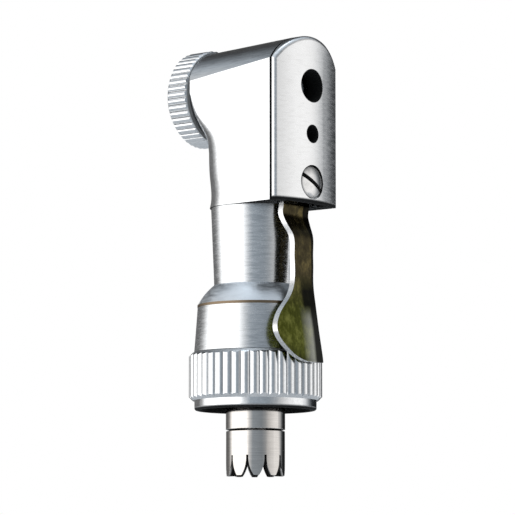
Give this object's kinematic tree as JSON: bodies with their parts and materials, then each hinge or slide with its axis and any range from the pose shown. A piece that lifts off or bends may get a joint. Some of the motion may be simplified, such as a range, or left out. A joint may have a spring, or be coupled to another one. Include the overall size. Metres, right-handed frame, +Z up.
{
  "type": "contra angle handpiece head",
  "caption": "Latch-type contra angle handpiece head with knurled bur cap, swinging latch lever, neck, knurled coupling nut and crown drive gear.",
  "frame": {"origin": "on the neck's axis, in the mouth plane of the coupling nut, where the driver seats", "axes": "+Z up the neck towards the head; -X the way the bur leaves the head; -Y the side of the finger pad's wing"},
  "size_m": [0.0129, 0.011, 0.036],
  "materials": {
    "satin_nickel": "satin nickel plate, bright",
    "brushed_cover": "fine brushed",
    "bright_knurl": "polished plate",
    "satin_neck": "fine lathe-turned satin",
    "copper_line": "copper-coloured, satin",
    "polished_steel": "polished bare steel",
    "lever_steel": "warm dark, half-bright",
    "screw_steel": "polished",
    "tool_steel": "ground",
    "bearing_steel": "ground and polished",
    "bronze_bush": "oiled bearing bronze",
    "seal_rubber": "black",
    "cage_polymer": "natural polymer"
  },
  "bodies": {
    "head": {"head_casing": "satin_nickel", "rear_cover": "brushed_cover", "pivot_screw": "screw_steel", "pivot_bush": "bronze_bush", "spring_washer": "tool_steel", "front_cap": "bright_knurl", "front_seal": "seal_rubber", "preload_washer": "tool_steel", "front_outer_race": "bearing_steel", "rear_outer_race": "bearing_steel", "neck_tube": "satin_neck", "neck_cone": "satin_neck", "marker_ring": "copper_line", "lower_sleeve": "satin_neck", "nut_retaining_ring": "tool_steel", "upper_shaft_bush": "bronze_bush", "bearing_tube": "polished_steel", "shaft_outer_race": "bearing_steel"},
    "drive_train": {"drive_shaft": "tool_steel", "pinion": "tool_steel", "crown_gear": "polished_steel", "shaft_inner_race": "bearing_steel"},
    "spindle": {"bur_tube": "tool_steel", "drive_insert": "tool_steel", "driven_gear": "tool_steel", "front_inner_race": "bearing_steel", "rear_inner_race": "bearing_steel"},
    "front_ball_set": {"front_balls": "bearing_steel", "front_cage": "cage_polymer"},
    "rear_ball_set": {"rear_balls": "bearing_steel", "rear_cage": "cage_polymer"},
    "shaft_ball_set": {"shaft_balls": "bearing_steel", "shaft_cage": "cage_polymer"},
    "latch": {"latch_lever": "lever_steel"},
    "nut": {"coupling_nut": "bright_knurl"}
  },
  "joints": [
    {"name": "drive_turn", "type": "hinge", "parent": "head", "child": "drive_train", "pos_m": [0, 0, 0], "axis": [0, 0, 1], "continuous": true},
    {"name": "bur_turn", "type": "hinge", "parent": "head", "child": "spindle", "pos_m": [0, 0, 0.0265], "axis": [1, 0, 0], "continuous": true},
    {"name": "front_balls_turn", "type": "hinge", "parent": "head", "child": "front_ball_set", "pos_m": [0, 0, 0.0265], "axis": [1, 0, 0], "continuous": true},
    {"name": "rear_balls_turn", "type": "hinge", "parent": "head", "child": "rear_ball_set", "pos_m": [0, 0, 0.0265], "axis": [1, 0, 0], "continuous": true},
    {"name": "shaft_balls_turn", "type": "hinge", "parent": "head", "child": "shaft_ball_set", "pos_m": [0, 0, 0], "axis": [0, 0, 1], "continuous": true},
    {"name": "latch_swing", "type": "hinge", "parent": "head", "child": "latch", "pos_m": [0.00408, 0, 0.0185], "axis": [1, 0, 0], "range_deg": [0, 9]},
    {"name": "nut_turn", "type": "hinge", "parent": "head", "child": "nut", "pos_m": [0, 0, 0], "axis": [0, 0, 1], "continuous": true}
  ],
  "couplings": [
    {"joint": "bur_turn", "follows": "drive_turn", "ratio": 1},
    {"joint": "front_balls_turn", "follows": "drive_turn", "ratio": 0.4333},
    {"joint": "rear_balls_turn", "follows": "drive_turn", "ratio": 0.4333},
    {"joint": "shaft_balls_turn", "follows": "drive_turn", "ratio": 0.4103}
  ]
}
